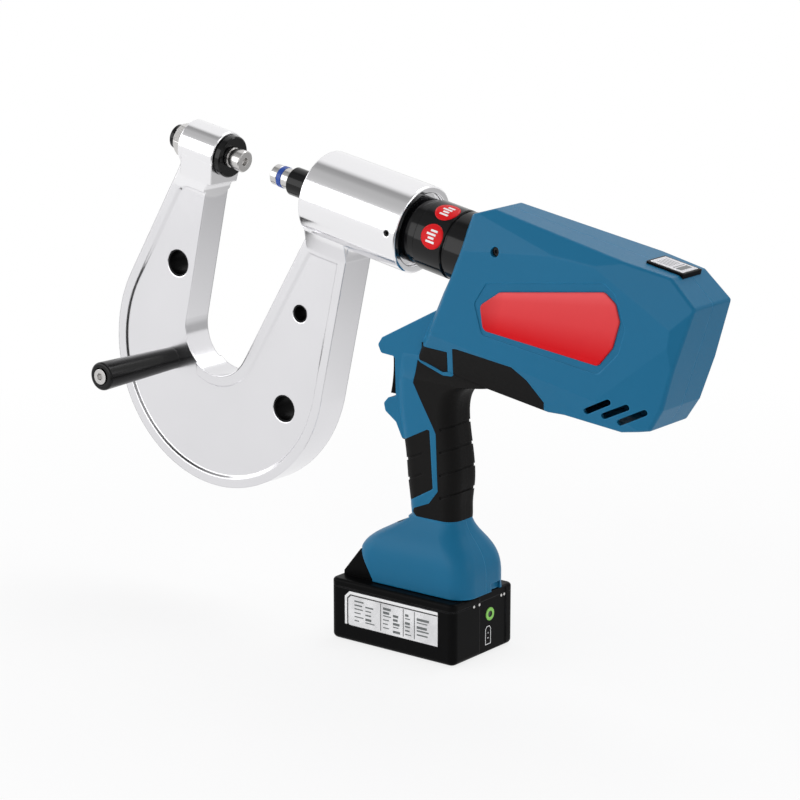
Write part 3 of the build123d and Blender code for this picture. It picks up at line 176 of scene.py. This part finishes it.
def material(
    name,
    colour,
    rough,
    spread=0.06,
    grain=1500.0,
    depth=0.00002,
    patch=14.0,
    stretch=(1.0, 1.0, 1.0),
    turn=(0.0, 0.0, 0.0),
    edge_highlight=0.0,
    highlight_colour=None,
    rough_spread=0.12,
    edge=0.0004,
    tinted=None,
    smoother=None,
    **sockets,
):
    """A finish with mottled colour, uneven gloss, a fine grain in relief and a painted highlight along its
    edges.
    """
    mat = bpy.data.materials.new(name)
    tree = Tree(mat)
    where = tree.place(stretch, turn)
    plain = tree.place()
    cloud = tree.noise(plain, patch, 4.0)
    fine = tree.noise(where, grain, 2.0, 0.6)
    tint = tree.ramp(cloud, [(TINT_FROM, shade(colour, 1 - spread)), (TINT_TO, shade(colour, 1 + spread))])
    if tinted:
        tint = tinted(tree, tint)
    rounded = tree.add("ShaderNodeBevel", {"Radius": edge}, samples=BEVEL_SAMPLES).outputs["Normal"]
    # Painted highlight: the colour is brightened along edges, in noisy patches, where light would catch them
    if edge_highlight:
        flat = tree.add("ShaderNodeNewGeometry").outputs["Normal"]
        facing = tree.vectors("DOT_PRODUCT", rounded, flat, gives="Value")
        highlight_patches = tree.ramp(tree.noise(plain, HIGHLIGHT_PATCH_SCALE, 5.0, 0.7), HIGHLIGHT_PATCH_STOPS)
        amount = tree.maths("MULTIPLY", tree.span(facing, HIGHLIGHT_STARTS, HIGHLIGHT_FULL, 0.0, edge_highlight), highlight_patches)
        tint = tree.mix(amount, tint, highlight_colour or shade(colour, HIGHLIGHT_BRIGHTENS))
    streak = tree.noise(where, grain * STREAK_SHARE, 3.0, 0.55)
    uneven = tree.maths("ADD", tree.maths("MULTIPLY", cloud, 0.5), tree.maths("MULTIPLY", streak, 0.5))
    gloss = tree.span(uneven, GLOSS_FROM, GLOSS_TO, rough * (1 - rough_spread), rough * (1 + rough_spread))
    if smoother:
        gloss = tree.maths("MULTIPLY", gloss, smoother(tree))
    bump = {"Height": fine, "Strength": 1.0, "Distance": depth, "Normal": rounded}
    relief = tree.add("ShaderNodeBump", bump).outputs["Normal"]
    shader = tree.add("ShaderNodeBsdfPrincipled", {"Base Color": tint, "Roughness": gloss, "Normal": relief})
    for key, value in sockets.items():
        shader.inputs[key.replace("_", " ")].default_value = value
    tree.add("ShaderNodeOutputMaterial", {"Surface": shader.outputs[0]})
    return mat


# Colours that change over a surface
FRAME_METAL = (0.735, 0.73, 0.75)
TURNED_METAL = (0.85, 0.845, 0.86)
# The turned barrel and boss end this far from the tool axis, and give way to the milled frame
BARREL_EDGE, BARREL_BLEND = 0.0346, 0.002
BARREL_ROUGH_SHARE = 0.7
# Painted sheen: the colour of the plate's upper part, paler and pinker like a reflection on the dome
PLATE_SHEEN = (0.82, 0.098, 0.105)
PLATE_LOW = (0.66, 0.005, 0.010)
# The plate's lower and upper edges on the tool: height where the place along it is 0, and slope
PLATE_FOOT_LINE = (-0.0501, 0.072)
PLATE_TOP_LINE = (-0.0436, 0.33)
# How the painted sheen comes in, from the plate's lower edge to its upper one
PLATE_SHEEN_STOPS = [(0.08, 0.0), (0.25, 0.18), (0.5, 0.5), (0.8, 0.65), (0.95, 1.0)]
# The painted shade at the plate's nose: where it starts along the tool, how far it fades, its share and its
# shade
PLATE_NOSE, NOSE_FADE, NOSE_SHARE, NOSE_SHADE = 0.083, 0.018, 0.35, 0.45
CHARGE_BUTTON_AT = (0.0, 0.0086, 0.030)
BUTTON_MIDDLE = (0.006, 0.012, 0.006)
MIDDLE_RADIUS, RING_STARTS = 0.0024, 0.0026


def off_barrel(tree):
    """0 on the turned barrel and boss, 1 on the milled frame."""
    return tree.span(tree.from_axis(AXIS_AT, ALONG), BARREL_EDGE, BARREL_EDGE + BARREL_BLEND)


def barrel_gloss(tree):
    """The turned barrel is smoother than the milled frame."""
    return tree.span(off_barrel(tree), 0.0, 1.0, BARREL_ROUGH_SHARE, 1.0)


def barrel_tint(tree, tint):
    """The turned barrel is brighter than the milled frame."""
    return tree.mix(off_barrel(tree), TURNED_METAL, tint)


def plate_sheen_and_shade(tree, _):
    """The plate runs from a painted pink sheen at the top to clear red at its lower edge, and has painted
    shade at its nose.
    """
    along = tree.height_on(ALONG, AXIS_AT)
    height = tree.height_on(UP, AXIS_AT)
    lines = (PLATE_FOOT_LINE, PLATE_TOP_LINE)
    low, high = (tree.maths("MULTIPLY_ADD", along, slope, start) for start, slope in lines)
    share = tree.maths("DIVIDE", tree.maths("SUBTRACT", height, low), tree.maths("SUBTRACT", high, low))
    share = tree.ramp(share, PLATE_SHEEN_STOPS)
    nose_shade = tree.span(along, PLATE_NOSE, PLATE_NOSE + NOSE_FADE, NOSE_SHARE, 0.0)
    return tree.mix(nose_shade, tree.mix(share, PLATE_LOW, PLATE_SHEEN), shade(PLATE_LOW, NOSE_SHADE))


def ring_tint(tree, tint):
    """A green ring round the button's dark middle."""
    distance = tree.from_axis(CHARGE_BUTTON_AT, (1.0, 0.0, 0.0))
    return tree.mix(tree.span(distance, MIDDLE_RADIUS, RING_STARTS), BUTTON_MIDDLE, tint)


# Materials, one for each slot of the record and a few for single pieces
# Several finishes paint a highlight along their edges, given as an amount and, for some, a brighter colour
MATERIALS = {
    "blue_plastic": material(
        "satin_blue_nylon", (0.0085, 0.140, 0.275), 0.40, spread=0.02, grain=2600.0, depth=0.00002,
        edge_highlight=0.35, edge=0.0012, Specular_IOR_Level=0.16,
    ),
    "black_rubber": material(
        "grip_rubber", (0.0060, 0.0056, 0.0054), 0.55, spread=0.10, grain=1900.0, depth=0.00004,
        edge_highlight=0.5, highlight_colour=(0.016, 0.016, 0.016), edge=0.0006, Specular_IOR_Level=0.08,
    ),
    "bright_aluminium": material(
        "bright_aluminium", FRAME_METAL, 0.17, spread=0.02, grain=1400.0, depth=0.0000004,
        stretch=(1.0, 1.0, 0.12), turn=(0.0, LEAN, 0.0), rough_spread=0.12, edge=0.0015,
        tinted=barrel_tint, smoother=barrel_gloss, Metallic=1.0,
    ),
    "black_steel": material(
        "black_oxide", (0.0030, 0.0030, 0.0035), 0.11, spread=0.2, grain=1200.0, depth=0.000004,
        edge_highlight=0.2, rough_spread=0.25, edge=0.0003, Specular_IOR_Level=0.24,
    ),
    "polished_steel": material(
        "turned_steel", (0.58, 0.57, 0.56), 0.20, spread=0.05, grain=2200.0, depth=0.000012,
        stretch=(1.0, 0.1, 0.1), rough_spread=0.3, Metallic=1.0,
    ),
    "blue_ring": material(
        "blue_ring", (0.003, 0.052, 0.32), 0.34, spread=0.08, grain=1800.0, depth=0.00001, edge_highlight=0.3,
    ),
    # The plate's tint adds a painted sheen at its top and painted shade at its nose
    "red_plate": material(
        "red_dome", PLATE_LOW, 0.22, spread=0.02, grain=500.0, depth=0.000004, edge=0.0008,
        tinted=plate_sheen_and_shade, Coat_Weight=0.04, Coat_Roughness=0.06, Specular_IOR_Level=0.08,
    ),
    "black_plastic": material(
        "battery_black", (0.0030, 0.0030, 0.0032), 0.36, spread=0.10, grain=2300.0, depth=0.00002,
        edge_highlight=0.8, highlight_colour=(0.035, 0.035, 0.036), edge=0.0010, Specular_IOR_Level=0.04,
    ),
    "silver_foil": material(
        "silver_foil", (0.74, 0.74, 0.75), 0.26, spread=0.16, grain=240.0, depth=0.00006,
        patch=60.0, Metallic=0.6,
    ),
    "green_ring": material(
        "green_ring", (0.25, 0.66, 0.09), 0.30, spread=0.05, grain=900.0, depth=0.000006,
        tinted=ring_tint,
    ),
    "seal_rubber": material("seal_rubber", (0.02, 0.02, 0.02), 0.35, spread=0.1, grain=800.0),
    "spring_steel": material(
        "spring_wire", (0.46, 0.46, 0.47), 0.28, spread=0.06, grain=1500.0, depth=0.00001, Metallic=1.0,
    ),
    "bronze": material(
        "bronze", (0.55, 0.36, 0.15), 0.30, spread=0.08, grain=1200.0, depth=0.00001, Metallic=1.0,
    ),
    "board_green": material("board_green", (0.015, 0.17, 0.06), 0.35, spread=0.1, grain=700.0),
    "cell_wrap": material("cell_wrap", (0.06, 0.17, 0.42), 0.30, spread=0.06, grain=500.0),
}
STICKER = material(
    "red_sticker", (0.70, 0.008, 0.012), 0.34, spread=0.05, grain=700.0, depth=0.000004,
    edge=0.0001, Specular_IOR_Level=0.12,
)
HANDLE = material(
    "handle_black", (0.0035, 0.0035, 0.0037), 0.22, spread=0.10, grain=1500.0, depth=0.000008,
    edge=0.0010, Specular_IOR_Level=0.22,
)
PRINTED = {"depth": 0.000004, "edge": 0.0}
WHITE_PRINT = material("white_print", (0.86, 0.86, 0.86), 0.45, spread=0.03, grain=900.0, **PRINTED)
BLACK_PRINT = material("black_print", (0.010, 0.010, 0.010), 0.40, spread=0.1, grain=900.0, **PRINTED)
GREY_PRINT = material("grey_print", (0.12, 0.13, 0.13), 0.45, spread=0.15, grain=900.0, **PRINTED)
PALE_FILM = material("pale_film", (0.72, 0.71, 0.74), 0.30, spread=0.04, grain=700.0, **PRINTED)


def dress(obj, mat):
    obj.data.materials.clear()
    obj.data.materials.append(mat)


for part in frame["record"]["subparts"]:
    dress(nodes[part["node"]], MATERIALS[part["material_slot"]])
dress(nodes["side_handle_grip"], HANDLE)


# Trim: thin printed or stuck-on pieces, and the small studs of the battery lid
def piece(name, points, faces, mat, body):
    """A mesh piece that rides on a body."""
    mesh = bpy.data.meshes.new(name)
    mesh.from_pydata([tuple(p) for p in points], [], faces)
    mesh.validate()
    mesh.materials.append(mat)
    obj = bpy.data.objects.new(name, mesh)
    bpy.context.collection.objects.link(obj)
    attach(obj, body)
    return obj


def slabs(name, outlines, plane, thickness, mat, body):
    """Flat prisms on a plane of origin, right and up: outlines and thickness are in millimetres."""
    origin, right, up = (Vector(v) for v in plane)
    out = right.cross(up)
    points, faces = [], []
    for outline in outlines:
        start, count = len(points), len(outline)
        for height in (0.0, thickness):
            points += [origin + (right * a + up * b + out * height) / 1000 for a, b in outline]
        faces.append([start + i for i in reversed(range(count))])
        faces.append([start + count + i for i in range(count)])
        for i in range(count):
            j = (i + 1) % count
            faces.append([start + i, start + j, start + count + j, start + count + i])
    piece(name, points, faces, mat, body)


def bar(a0, a1, b0, b1):
    """The outline of an upright rectangle, from a0 to a1 and from b0 to b1."""
    return [(a0, b0), (a1, b0), (a1, b1), (a0, b1)]


def disc(a, b, radius, corners=20):
    """The outline of a disc round a and b."""
    turns = [math.tau * i / corners for i in range(corners)]
    return [(a + radius * math.cos(t), b + radius * math.sin(t)) for t in turns]


# Stickers on the neck, each with its place along the tool axis and its turn from the neck's top
NECK_RADIUS = 0.0265
STICKERS = (("front", 0.0271, 73.5), ("top", 0.0270, 23.3))
STICKER_RADIUS = 0.0095
STICKER_THICK = 0.00025
STICKER_CLEAR = 0.00003
RINGS, SPOKES = 6, 48
# White bars on a sticker: offset round the neck, start and length along it, in metres
MARK_BARS = (
    (-0.0042, -0.0025, 0.0060),
    (-0.0014, -0.0050, 0.0080),
    (0.0014, -0.0030, 0.0052),
    (0.0042, -0.0042, 0.0075),
)
MARK_HALF, MARK_LIFT = 0.0008, 0.0004


def neck_point(u, turn, a, b, lift):
    """A place just off the neck: a along the axis and b round it from the point at u and turn."""
    angle = turn + b / NECK_RADIUS
    outward = UP * math.cos(angle) + OUT * math.sin(angle)
    return on_tool(u + a, 0.0) + outward * (NECK_RADIUS + STICKER_CLEAR + lift)


def sticker(name, u, turn):
    """A round sticker bent over the neck, made of two layers of rings and the rim that joins them."""
    points, faces = [], []
    for lift in (0.0, STICKER_THICK):
        points.append(neck_point(u, turn, 0.0, 0.0, lift))
        for ring in range(1, RINGS + 1):
            for spoke in range(SPOKES):
                t = math.tau * spoke / SPOKES
                reach = STICKER_RADIUS * ring / RINGS
                points.append(neck_point(u, turn, reach * math.cos(t), reach * math.sin(t), lift))
    layer = 1 + RINGS * SPOKES
    for base, flip in ((0, True), (layer, False)):
        for spoke in range(SPOKES):
            after = (spoke + 1) % SPOKES
            fan = [base, base + 1 + spoke, base + 1 + after]
            faces.append(fan[::-1] if flip else fan)
            for ring in range(RINGS - 1):
                inner, outer = base + 1 + ring * SPOKES, base + 1 + (ring + 1) * SPOKES
                quad = [inner + spoke, outer + spoke, outer + after, inner + after]
                faces.append(quad[::-1] if flip else quad)
    rim = 1 + (RINGS - 1) * SPOKES
    for spoke in range(SPOKES):
        after = (spoke + 1) % SPOKES
        faces.append([rim + spoke, rim + after, layer + rim + after, layer + rim + spoke])
    obj = piece(name, points, faces, STICKER, "tool")
    obj.data.polygons.foreach_set("use_smooth", [len(p.vertices) < 5 for p in obj.data.polygons])


def sticker_mark(name, u, turn):
    """Plain white bars along the neck, on a sticker."""
    points, faces = [], []
    for offset, start, reach in MARK_BARS:
        angle = turn + offset / NECK_RADIUS
        outward = UP * math.cos(angle) + OUT * math.sin(angle)
        sideways = UP * math.sin(angle) - OUT * math.cos(angle)
        base = neck_point(u + start, angle, 0.0, 0.0, 0.0)
        corners = bar(0.0, reach, -MARK_HALF, MARK_HALF)
        first = len(points)
        for lift in (0.0, MARK_LIFT):
            points += [base + ALONG * a + sideways * b + outward * lift for a, b in corners]
        faces += [[first + 3, first + 2, first + 1, first], [first + 4, first + 5, first + 6, first + 7]]
        for i in range(4):
            j = (i + 1) % 4
            faces.append([first + i, first + j, first + 4 + j, first + 4 + i])
    piece(name, points, faces, WHITE_PRINT, "tool")


for place, u, turn in STICKERS:
    sticker("sticker_" + place, u, math.radians(turn))
    sticker_mark("sticker_mark_" + place, u, math.radians(turn))

# The label on the battery's near side, in millimetres from the middle of the battery's underside
PRINT_MM = 0.12
LABEL_PLANE = ((0.0, -0.03810, 0.0), (1.0, 0.0, 0.0), (0.0, 0.0, 1.0))
LABEL_EDGE = [(-44.3, 13.8), (-44.3, 36.0), (-40.0, 40.1), (43.8, 40.1)]
BORDER_EDGE = [(-42.2, 13.8), (-42.2, 34.9), (-39.0, 38.0), (43.8, 38.0)]
LINE_EDGE = [(-41.2, 13.8), (-41.2, 34.4), (-38.5, 37.0), (43.8, 37.0)]
# Columns of plain bars: start, width and top of each
LABEL_COLUMNS = (
    (-35.0, 9.0, 34.0),
    (-24.5, 11.0, 31.0),
    (-7.5, 7.5, 34.0),
    (2.0, 8.0, 30.0),
    (13.5, 6.5, 33.0),
    (24.5, 13.0, 32.0),
)
LABEL_FLOOR, ROW_STEP = 17.0, 3.1
ROW_HEIGHTS = (0.8, 1.1, 1.9)
SHORTEST_ROW = 0.45
DIVIDERS = (-10.0, 11.5, 22.0)
DIVIDER_WIDTH, DIVIDER_LOW, DIVIDER_HIGH = 0.5, 15.0, 36.4

for name, outer, inner, mat in (
    ("label_border", LABEL_EDGE, BORDER_EDGE, WHITE_PRINT),
    ("label_line", BORDER_EDGE, LINE_EDGE, BLACK_PRINT),
):
    slabs(name, [outer + inner[::-1]], LABEL_PLANE, PRINT_MM, mat, "battery")
random.seed(7)
label_rows = []
for column, width, top in LABEL_COLUMNS:
    level = top
    while level > LABEL_FLOOR:
        tall = random.choice(ROW_HEIGHTS)
        end = column + width * random.uniform(SHORTEST_ROW, 1.0)
        label_rows.append(bar(column, end, level - tall, level))
        level -= ROW_STEP
slabs("label_bars", label_rows, LABEL_PLANE, PRINT_MM, GREY_PRINT, "battery")
dividers = [bar(x, x + DIVIDER_WIDTH, DIVIDER_LOW, DIVIDER_HIGH) for x in DIVIDERS]
slabs("label_dividers", dividers, LABEL_PLANE, PRINT_MM, BLACK_PRINT, "battery")

# The battery's rear: a cell-shaped mark in the recessed panel, and two pairs of studs on the lid
REAR_RIGHT, REAR_UP = (0.0, 1.0, 0.0), (0.0, 0.0, 1.0)
PANEL_PLANE = ((0.0577, 0.0, 0.0), REAR_RIGHT, REAR_UP)
REAR_PLANE = ((0.0585, 0.0, 0.0), REAR_RIGHT, REAR_UP)
MARK_SIDES = [bar(3.0, 3.6, 6.5, 18.6), bar(9.4, 10.0, 6.5, 18.6), bar(3.6, 9.4, 6.5, 7.1)]
MARK_CAP = [
    (3.0, 18.6), (3.6, 18.6), (5.0, 20.4), (8.0, 20.4), (9.4, 18.6), (10.0, 18.6), (8.3, 21.0), (4.7, 21.0),
]
MARK_DOTS = [disc(6.5, 15.6, 0.55), disc(6.5, 11.6, 0.55)]
STUD_RADIUS, STUD_HEIGHT, STUD_LIFT = 1.1, 41.0, 0.3
STUDS = (("lid_studs_side", (-12.6, -5.9), REAR_PLANE), ("lid_studs_panel", (22.9, 26.6), PANEL_PLANE))

charge_mark = MARK_SIDES + [MARK_CAP] + MARK_DOTS
slabs("charge_mark", charge_mark, PANEL_PLANE, PRINT_MM, WHITE_PRINT, "battery")
for name, places, plane in STUDS:
    studs = [disc(a, STUD_HEIGHT, STUD_RADIUS) for a in places]
    slabs(name, studs, plane, STUD_LIFT, MATERIALS["polished_steel"], "battery")

# The window on the roof: a pale film with thin rows and two columns
WINDOW_U, WINDOW_TOP_V = 0.2145, 0.0427
FILM_MM, FILM_LIFT, STRIPE_MM = 0.1, 0.0001, 0.05
WINDOW_ROWS = (-6.4, -3.6, -0.8, 2.0, 4.8)
ROW_FROM, ROW_TO, ROW_WIDTH = -10.5, 1.0, 0.7

window_at = on_tool(WINDOW_U, WINDOW_TOP_V)
stripes = [bar(ROW_FROM, ROW_TO, b, b + ROW_WIDTH) for b in WINDOW_ROWS]
stripes += [bar(3.4, 4.2, -7.0, 7.0), bar(5.6, 10.4, -7.0, 7.0)]
film = [bar(-13.2, 13.2, -9.2, 9.2)]
slabs("window_film", film, (window_at, ALONG, -OUT), FILM_MM, PALE_FILM, "tool")
stripes_plane = (window_at + UP * FILM_LIFT, ALONG, -OUT)
slabs("window_stripes", stripes, stripes_plane, STRIPE_MM, GREY_PRINT, "tool")

# Floor
WHITE = (1.0, 1.0, 1.0, 1.0)
FLOOR_HALF = 14.0
FLOOR_DROP = 0.0005
# The share of the floor that glows for the camera: near the tool, and how it rises to 1 with distance
GLOW_NEAR, GLOW_RISES, GLOW_FULL = 0.80, 0.35, 0.90
MIRRORED_GLOW = 0.9
# The floor in mirror: a grey patch before the tool and a grey far side, as in a room with dark corners
PATCH_AT = (0.50, -0.65, 0.0)
PATCH_INNER, PATCH_OUTER, PATCH_LEVEL = 0.36, 0.62, 0.12
GREY_START, GREY_END, GREY_LEVEL = 0.25, 0.6, 0.5


def floor_glow(tree):
    """How bright the floor shows: white to the camera, and with its grey parts in a mirror."""
    patch = tree.span(tree.from_axis(PATCH_AT), PATCH_INNER, PATCH_OUTER, PATCH_LEVEL, 1.0)
    far = tree.span(tree.height_on((0.0, 1.0, 0.0)), GREY_START, GREY_END, 1.0, GREY_LEVEL)
    mirrored = tree.maths("MULTIPLY", patch, far)
    path = tree.add("ShaderNodeLightPath").outputs
    darker = tree.maths("MULTIPLY", path["Is Glossy Ray"], tree.maths("SUBTRACT", mirrored, 1.0))
    return tree.maths("ADD", darker, 1.0)


def glow_share(tree):
    """The part of the floor that glows: none where it lights the object, most where it is seen."""
    path = tree.add("ShaderNodeLightPath").outputs
    seen = tree.maths("ADD", path["Is Camera Ray"], path["Is Transmission Ray"], clamp=True)
    rising = tree.span(tree.from_axis((0.0, 0.0, 0.0)), GLOW_RISES, GLOW_FULL, GLOW_NEAR, 1.0)
    direct = tree.maths("MULTIPLY", seen, rising)
    mirrored = tree.maths("MULTIPLY", path["Is Glossy Ray"], MIRRORED_GLOW)
    return tree.maths("ADD", direct, mirrored, clamp=True)


floor_mesh = bpy.data.meshes.new("floor")
corners = [(x * FLOOR_HALF, y * FLOOR_HALF, 0.0) for x, y in ((-1, -1), (1, -1), (1, 1), (-1, 1))]
floor_mesh.from_pydata(corners, [], [(0, 1, 2, 3)])
floor = bpy.data.objects.new("floor", floor_mesh)
bpy.context.collection.objects.link(floor)
floor.location.z = -FLOOR_DROP
floor_look = bpy.data.materials.new("pale_floor")
tree = Tree(floor_look)
speck = tree.noise(tree.place(), 3.0)
paper = tree.add("ShaderNodeBsdfDiffuse", {"Color": tree.ramp(speck, [(0.3, 0.90), (0.7, 0.92)])})
glow = tree.add("ShaderNodeEmission", {"Color": WHITE, "Strength": floor_glow(tree)})
both = tree.add("ShaderNodeMixShader", {0: glow_share(tree), 1: paper.outputs[0], 2: glow.outputs[0]})
tree.add("ShaderNodeOutputMaterial", {"Surface": both.outputs[0]})
floor_mesh.materials.append(floor_look)

# The room as the metal sees it, from the front horizon over the top to the back one, in half turns
ROOM = [
    (0.0, 1.0), (0.15, 1.0), (0.20, 0.78), (0.25, 0.62), (0.32, 0.54), (0.39, 0.52),
    (0.43, 0.40), (0.49, 0.34), (0.525, 0.75), (0.56, 1.0), (1.0, 1.0),
]
AMBIENT = (0.46, 0.46, 0.47)

world = bpy.data.worlds.new("studio")
bpy.context.scene.world = world
tree = Tree(world)
direction = tree.add("ShaderNodeTexCoord").outputs["Generated"]
parts = tree.add("ShaderNodeSeparateXYZ", {0: direction}).outputs
forward = tree.maths("MULTIPLY", parts["Y"], -1.0)
half_turns = tree.maths("DIVIDE", tree.maths("ARCTAN2", parts["Z"], forward), math.pi)
room = tree.ramp(half_turns, ROOM)
path = tree.add("ShaderNodeLightPath").outputs
direct = tree.maths("ADD", path["Is Camera Ray"], path["Is Transmission Ray"], clamp=True)
ambient = tree.mix(path["Is Glossy Ray"], AMBIENT, room)
shown = tree.mix(direct, ambient, (1.0, 1.0, 1.0))
sky = tree.add("ShaderNodeBackground", {"Color": shown, "Strength": 1.0})
tree.add("ShaderNodeOutputWorld", {"Surface": sky.outputs[0]})

# Lamps, all aimed at the tool: name, place, size in metres and watts
LAMPS_AIM = (-0.02, 0.0, 0.22)
LAMPS = (
    ("front", (-0.9, -1.9, 0.85), (3.0, 1.5), 24.0),
    ("back_top", (0.2, 1.0, 1.9), (1.6, 1.2), 17.0),
    ("left", (-1.9, -0.3, 1.0), (1.0, 1.0), 6.0),
    ("right", (1.8, 0.4, 0.7), (0.8, 0.8), 4.0),
)


def softbox(name, at, size, watts):
    """A soft rectangular lamp aimed at the tool."""
    lamp = bpy.data.lights.new(name, "AREA")
    lamp.shape = "RECTANGLE"
    lamp.size, lamp.size_y = size
    lamp.energy = watts
    obj = bpy.data.objects.new(name, lamp)
    bpy.context.collection.objects.link(obj)
    obj.location = at
    obj.rotation_mode = "QUATERNION"
    obj.rotation_quaternion = (Vector(LAMPS_AIM) - Vector(at)).to_track_quat("-Z", "Y")


for name, at, size, watts in LAMPS:
    softbox(name, at, size, watts)
